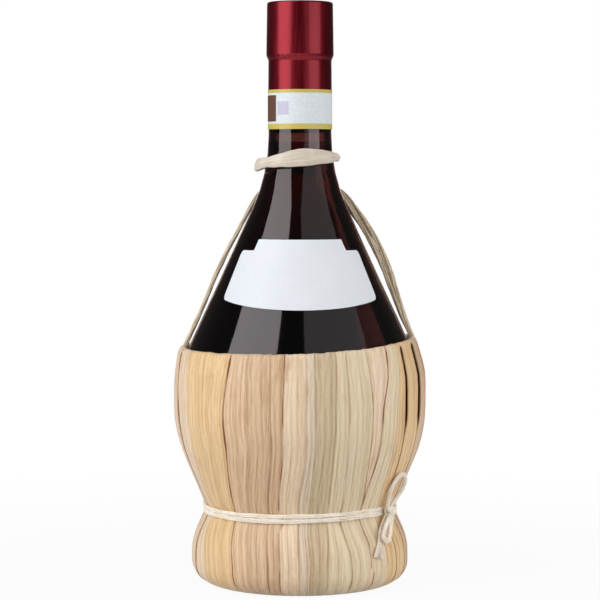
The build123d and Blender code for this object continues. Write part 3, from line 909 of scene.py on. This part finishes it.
def relief(share, along, seed, pleats, over_left, over_right):
    """How far a blade stands out: crowned, stepped at its laps, pleated and crinkled."""
    side = 2 * share - 1
    offset = blade_crown * (1 - side**2)
    for towards, over in ((-side, over_left), (side, over_right)):
        offset += lap_step * eased((towards - 0.5) / 0.5) * (1 if over else -1)
    offset += pleat_depth * abs(sin(pi * pleats * share + ripple(4 * along, seed + 5)))
    offset += crinkle * ripple(6 * share * pleats + seed, 4 * along, 3)
    return offset + swell * ripple(seed, 7 * along, 8)


def make_blade(number, left, right, stations):
    """One dried leaf between two edges, lapped with its neighbours and gathered at the waist."""
    blade = sheet(f"Straw_blade_{number + 1:02d}", blade_columns, len(stations) - 1)
    seed = 7.31 * number
    width = radians(right[1] - left[1]) * straw_belly_radius
    over_left = number % 2 == 0 or number in gap_edges
    over_right = number % 2 == 0 and number + 1 not in gap_edges
    left_lap, right_lap = (lap_over if over else lap_under for over in (over_left, over_right))
    pleats = max(1, round(width / pleat_width))
    shares = []
    for vertex in blade.data.vertices:
        share = (vertex.co.x + 1) / 2
        shares.append(share)
        index = round((vertex.co.y + 1) / 2 * (len(stations) - 1))
        point, normal, inside_rim = stations[index]
        along = index / len(stations)
        spread = 180 / pi / point.x
        tuck = 1 if point.y > tucked_height else tucked_share
        wander = edge_wander * tuck
        opened = 0 if inside_rim else eased((point.y - gap_start_height) / gap_ease)
        left_reach = wander * ripple(9 * along, 3.1 * number) - edge_reach(number, left_lap, tuck, opened)
        right_reach = (wander * ripple(9 * along, 3.1 * (number + 1))
                       + edge_reach(number + 1, right_lap, tuck, opened))
        low = edge_angle(left, point, inside_rim) + left_reach * spread
        high = edge_angle(right, point, inside_rim) + right_reach * spread
        angle = low + (high - low) * share
        side = 2 * share - 1
        gather = eased(1 - abs(point.y - waist_height) / gather_reach)
        offset = relief(share, along, seed, pleats, over_left, over_right)
        offset += gather * gather_depth * sin(2.2 * pleats * side + seed)
        if inside_rim or point.y > rim_centre[1]:
            offset *= fold_relief_share
        offset *= eased((point.y - flat_foot_height) / flat_foot_ease)
        centre = point + normal * offset
        rim_share = eased((point.y - straw_belly_high) / (rim_centre[1] - straw_belly_high))
        lift = rim_share * (rim_lift(angle) + rim_blade_step * ripple(seed + 2, 2 * side))
        vertex.co = around(angle, centre.x - lift * cone_share, max(centre.y + lift, 0))
    # How dark each edge line is: leaf edge colour and painted shade together.
    tints = (edge_line_and_shade_strengths.get(edge, plain_edge_line_and_shade) for edge in (number, number + 1))
    write_edge_notes(blade, width / mm, shares, *tints)
    thicken(blade, straw_thickness, -1)
    return blade


def leaf_middles():
    """Angle of each CAD leaf's middle at the belly, in degrees from the front."""
    middles = {}
    for name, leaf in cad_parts.items():
        if name.startswith("straw_leaf"):
            places = [vertex.co for vertex in leaf.data.vertices]
            widest = [place for place in places if straw_belly_low < place.z < straw_belly_high]
            x, y = (sum(place[axis] for place in widest) for axis in (0, 1))
            middles[name] = atan2(x, -y) * 180 / pi
    return middles


def make_skirt():
    """All the blades, each standing for the leaves whose middle it covers."""
    stations = straw_path()
    edges = all_edges()
    middles = leaf_middles()
    for number, tone in enumerate(front_tones + back_tones):
        left, right = edges[number], edges[number + 1]
        blade = make_blade(number, left, right, stations)
        covered = [leaf for leaf, middle in middles.items()
                   if left[1] <= middle < right[1] or left[1] <= middle + 360 < right[1]]
        finish(blade, straw_tones[tone], "straw_leaf", *covered)


# Foot pad
def make_foot_pad():
    """Twisted straw laid in rings inside the foot."""
    low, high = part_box("foot_pad")
    line = [
        (pad_hole_radius, low.z), (pad_bed_radius, low.z), (high.x, pad_side_height),
        (high.x, high.z), (pad_lip_radius, high.z), (pad_seat_radius, pad_seat_height),
        (pad_hole_radius, pad_seat_height), (pad_hole_radius, low.z),
    ]
    pad = turned("Foot_pad_coil", finer([Vector(corner) for corner in line], pad_mesh_step), steps=180)
    for vertex in pad.data.vertices:
        angle = atan2(vertex.co.y, vertex.co.x)
        radius = vertex.co.xy.length
        outward = Vector((vertex.co.x, vertex.co.y, 0)).normalized()
        core = outward * pad_core[0] + Vector((0, 0, pad_core[1]))
        ring = abs(sin(pi * radius / pad_ring_width + angle))
        strand = abs(sin(pad_strands * angle + pad_slant * radius))
        vertex.co += (core - vertex.co).normalized() * pad_groove * (1 - ring * strand)
    finish(pad, straw_tones["tan"], "twisted_straw", "foot_pad")


# Cords
def curve_points(route):
    """Points along the smooth curve that a cord route's points steer, in metres."""
    data = bpy.data.curves.new("route", "CURVE")
    data.dimensions = "3D"
    data.resolution_u = 10
    spline = data.splines.new("NURBS")
    spline.points.add(len(route) - 1)
    for target, (angle, radius, height) in zip(spline.points, route):
        target.co = (*around(angle, radius * mm, height * mm), 1)
    spline.order_u = 3
    spline.use_endpoint_u = True
    curve = in_scene("route", data)
    mesh = bpy.data.meshes.new_from_object(curve)
    points = [vertex.co.copy() for vertex in mesh.vertices]
    bpy.data.objects.remove(curve)
    return points


def bundle(name, points, count, spread, thick, twist, ends=(1.0, 1.0), flat=1.0, parting=0.0, seed=0.0):
    """Fibres of radius thick that wind round a line at a distance of spread, a turn for each length of twist.

    The ends can be narrower or wider, flat presses the cord towards the flask, and parting opens it half way.
    """
    data = bpy.data.curves.new(name, "CURVE")
    data.dimensions = "3D"
    data.bevel_depth = thick
    data.bevel_resolution = 2
    data.use_fill_caps = True
    travelled = [0.0]
    for a, b in zip(points, points[1:]):
        travelled.append(travelled[-1] + (b - a).length)
    for fibre in range(count):
        spline = data.splines.new("POLY")
        spline.points.add(len(points) - 1)
        half = 1 if fibre % 2 else -1
        for index, point in enumerate(points):
            way = travelled[index]
            share = way / travelled[-1]
            heading = (points[min(index + 1, len(points) - 1)] - points[max(index - 1, 0)]).normalized()
            outward = Vector((point.x, point.y, 0)).normalized()
            outward = (outward - heading * outward.dot(heading)).normalized()
            sideways = heading.cross(outward)
            start = 2 * pi * (fibre + 0.3 * ripple(fibre * 2.3, seed)) / count
            angle = start + way / twist * 2 * pi + seed
            width = spread * (1 + 0.35 * ripple(80 * way + fibre * 3.7, seed))
            width *= ends[0] + (1 - ends[0]) * eased(4 * share)
            width *= 1 + (ends[1] - 1) * eased((share - 0.6) / 0.4)
            apart = half * parting * eased(3 * share) * eased(3 * (1 - share))
            place = point + outward * (width * flat * cos(angle) + apart) + sideways * (width * sin(angle))
            spline.points[index].co = (*place, 1)
            spline.points[index].radius = 1 + 0.3 * ripple(fibre * 5.1, way * 300, seed)
    pick(in_scene(name, data))
    bpy.ops.object.convert(target="MESH")
    cord = bpy.context.object
    cord.name = name
    smooth(cord, cord_crease)
    return cord


def make_rim_hoop():
    """Split-cane hoop that the leaves fold over."""
    line = [around(angle, rim_centre[0] - rim_lift(angle) * cone_share, rim_centre[1] + rim_lift(angle))
            for angle in range(-180, 181, 3)]
    hoop = bundle("Rim_hoop_cane", line, **hoop_cord)
    finish(hoop, straw_tones["tan"], "cane", "rim_hoop")


def make_waist_string():
    """Two turns of loosely spun string round the waist."""
    winding = []
    for step in range(string_steps_per_turn * string_turns + 1):
        turn = step / string_steps_per_turn
        angle = knot_angle + 360 * turn
        height = waist_height + string_pitch * (turn - string_turns / 2)
        height += string_wave * sin(radians(2 * angle)) + string_wander * ripple(turn * 9)
        winding.append(around(angle, string_path_radius, height))
    string = bundle("Waist_string", winding, **string_cord)
    finish(string, string_fibre, "fibre_string", "waist_string")


def make_bow():
    """Upright loop, folded loop, frayed tail and the knot that holds them."""
    for name, node, route, cord, seed in (
        ("Bow_loop", "bow_loop", bow_loop_route, bow_cord, 0.0),
        ("Bow_fold", "bow_fold", bow_fold_route, bow_cord, 1.0),
        ("Bow_tail", "bow_tail", bow_tail_route, tail_cord, 2.0),
    ):
        strand = bundle(name, curve_points(route), seed=seed, **cord)
        finish(strand, string_fibre, "fibre_string", node)
    centre = around(knot_angle, knot_radius, knot_height)
    outward = around(knot_angle, 1, 0)
    sideways = Vector((-outward.y, outward.x, 0))
    upward = Vector((0, 0, 1))
    steps = knot_turns * knot_steps_per_turn
    winding = []
    for step in range(steps + 1):
        angle = 2 * pi * step / knot_steps_per_turn
        winding.append(centre + outward * (knot_half_depth * cos(angle))
                       + upward * (knot_half_height * sin(angle))
                       + sideways * ((2 * step / steps - 1) * knot_half_length))
    knot = bundle("Bow_knot", winding, **knot_cord)
    finish(knot, string_fibre, "fibre_string", "bow_knot")


def make_neck_loop():
    """The broad flattened middle of the handle round the neck."""
    deselect()
    ring_radius = 2.0
    bpy.ops.mesh.primitive_torus_add(major_segments=200, minor_segments=32,
                                     major_radius=ring_radius, minor_radius=1.0)
    loop = bpy.context.object
    loop.name = "Neck_loop"
    for vertex in loop.data.vertices:
        turn = atan2(vertex.co.x, -vertex.co.y)
        section = atan2(vertex.co.z, vertex.co.xy.length - ring_radius)
        angle = turn * 180 / pi
        broad = exp(-(((angle - broad_angle) / broad_reach) ** 2))
        droop = exp(-(((angle - droop_angle) / droop_reach) ** 2))
        half_height = loop_half_height + broad_extra * broad + droop_extra * droop
        half_thickness = loop_half_thickness - broad_thinning * broad + droop_thickening * droop
        height = loop_height + loop_slope * sin(turn) + broad_rise * broad - droop_drop * droop
        up = half_height * sin(section)
        if up < 0:
            up += loop_bottom_ripple * ripple(3.2 * turn, 2)
        else:
            up += loop_top_ripple * ripple(3.2 * turn, 7)
        out = half_thickness * cos(section)
        out += loop_face_ripple * ripple(3 * turn, 5 * sin(section), 4)
        out += loop_fibre_ripple * ripple(2 * turn, 14 * sin(section), 9)
        below_neck = max(0, neck_shoulder_height - height - min(up, 0))
        glass = neck_radius + below_neck**2 / (2 * flare_round)
        radius = max(loop_inner_radius, glass + loop_gap) + half_thickness + out - loop_lean_share * up
        vertex.co = around(angle, radius, height + up) + loop_shift
    smooth(loop, cord_crease)
    finish(loop, loop_leaf, "handle_fibre", "neck_loop")


def make_straps():
    """The handle's two sides: leaf strands that cross behind the neck and run down into the rim."""
    for side, route, cord in (("left", strap_route_left, left_cord),
                              ("right", strap_route_right, right_cord)):
        strap = bundle(f"Handle_strap_{side}", curve_points(route), **cord)
        finish(strap, handle_leaf, "handle_fibre", f"handle_strap_{side}")


def dress_cad_pieces():
    """The cork and the neck band keep their CAD meshes and get materials."""
    for node, material in (("cork", make_cork()), ("neck_band", make_band_paper())):
        for material_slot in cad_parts[node].material_slots:
            material_slot.material = material


# Studio
def make_stage():
    """A pale floor that turns up into a backdrop: white to the camera, in mirrors and through glass.

    Near the flask its white is painted a little darker, a faint painted shade that also lets the real shadow
    show.
    """
    profile = rounded([(floor_front, 0), (floor_back, 0), (floor_back, backdrop_height)], (backdrop_bend,))
    line = finer(profile, backdrop_step)
    sweep = chain("Backdrop", [Vector((-floor_half_width, *point)) for point in line])
    edit_all()
    bpy.ops.mesh.extrude_region_move(TRANSFORM_OT_translate={"value": (2 * floor_half_width, 0, 0)})
    bpy.ops.object.mode_set(mode="OBJECT")
    smooth(sweep)
    s = principled("Backdrop_paper", Base_Color=(0.6, 0.6, 0.6, 1), Roughness=1.0, Specular_IOR_Level=0.0)
    path = s.add("LightPath").outputs
    seen = s.maths("MAXIMUM", path["Is Camera Ray"], path["Is Glossy Ray"])
    seen = s.maths("MAXIMUM", seen, path["Is Transmission Ray"])
    # Painted shade: near the flask the white fades a little, darkening the floor there and letting the real
    # shadow show.
    far = s.add("VectorMath", {"operation": "LENGTH"}, Vector=s.coords("Object")).outputs["Value"]
    whiteness = s.maths("MULTIPLY", seen, s.range(far, *painted_shade_reach, painted_shade_white_share, 1.0))
    white = s.add("Emission", Color=(1, 1, 1, 1), Strength=1.0)
    blend = s.add("MixShader", Fac=whiteness)
    s.feed(blend.inputs[1], s.surface.outputs[0])
    s.feed(blend.inputs[2], white.outputs[0])
    s.set(s.nodes["Material Output"], Surface=blend.outputs[0])
    sweep.data.materials.append(s.owner)


def make_world():
    """Even light from all round, dim in mirrors and through glass, and white to the camera."""
    world = bpy.data.worlds.new("Studio")
    bpy.context.scene.world = world
    s = Shader(world, "Background", Color=(1, 1, 1, 1))
    path = s.add("LightPath").outputs
    even = s.maths("MULTIPLY_ADD", path["Is Diffuse Ray"], world_diffuse_strength, world_mirrored_strength)
    s.set(s.surface, Strength=s.maths("MAXIMUM", even, path["Is Camera Ray"]))


def make_softboxes():
    """Soft lamps that face the flask's axis; the camera doesn't see them."""
    for name, place, aim_height, size, strength, mirrored in softboxes:
        data = bpy.data.lights.new(name, "AREA")
        data.shape = "RECTANGLE"
        data.size, data.size_y = size
        data.energy = strength * pi * size[0] * size[1]
        data.color = lamp_colour
        lamp = in_scene(name, data)
        lamp.location = place
        aim = Vector((0, 0, aim_height)) - Vector(place)
        lamp.rotation_euler = aim.to_track_quat("-Z", "Y").to_euler()
        lamp.visible_camera = False
        lamp.visible_glossy = mirrored


def make_camera():
    """The photograph's view: a long lens a metre in front, tilted slightly down."""
    data = bpy.data.cameras.new("Camera")
    data.sensor_width = camera_sensor
    data.lens = camera_sensor / 2 / tan(radians(camera_view_angle) / 2)
    camera = in_scene("Camera", data)
    camera.location = camera_place
    camera.rotation_euler = (radians(90 - camera_tilt), 0, 0)
    bpy.context.scene.camera = camera


# The flask, piece by piece
make_bottle()
make_wine_fill()
make_foil_cap()
make_foil_disc()
make_foil_skirt()
make_label()
make_skirt()
make_rim_hoop()
make_foot_pad()
make_waist_string()
make_bow()
make_neck_loop()
make_straps()
dress_cad_pieces()

# The studio round it
make_stage()
make_world()
make_softboxes()
make_camera()
bpy.context.scene.view_settings.view_transform = "Standard"
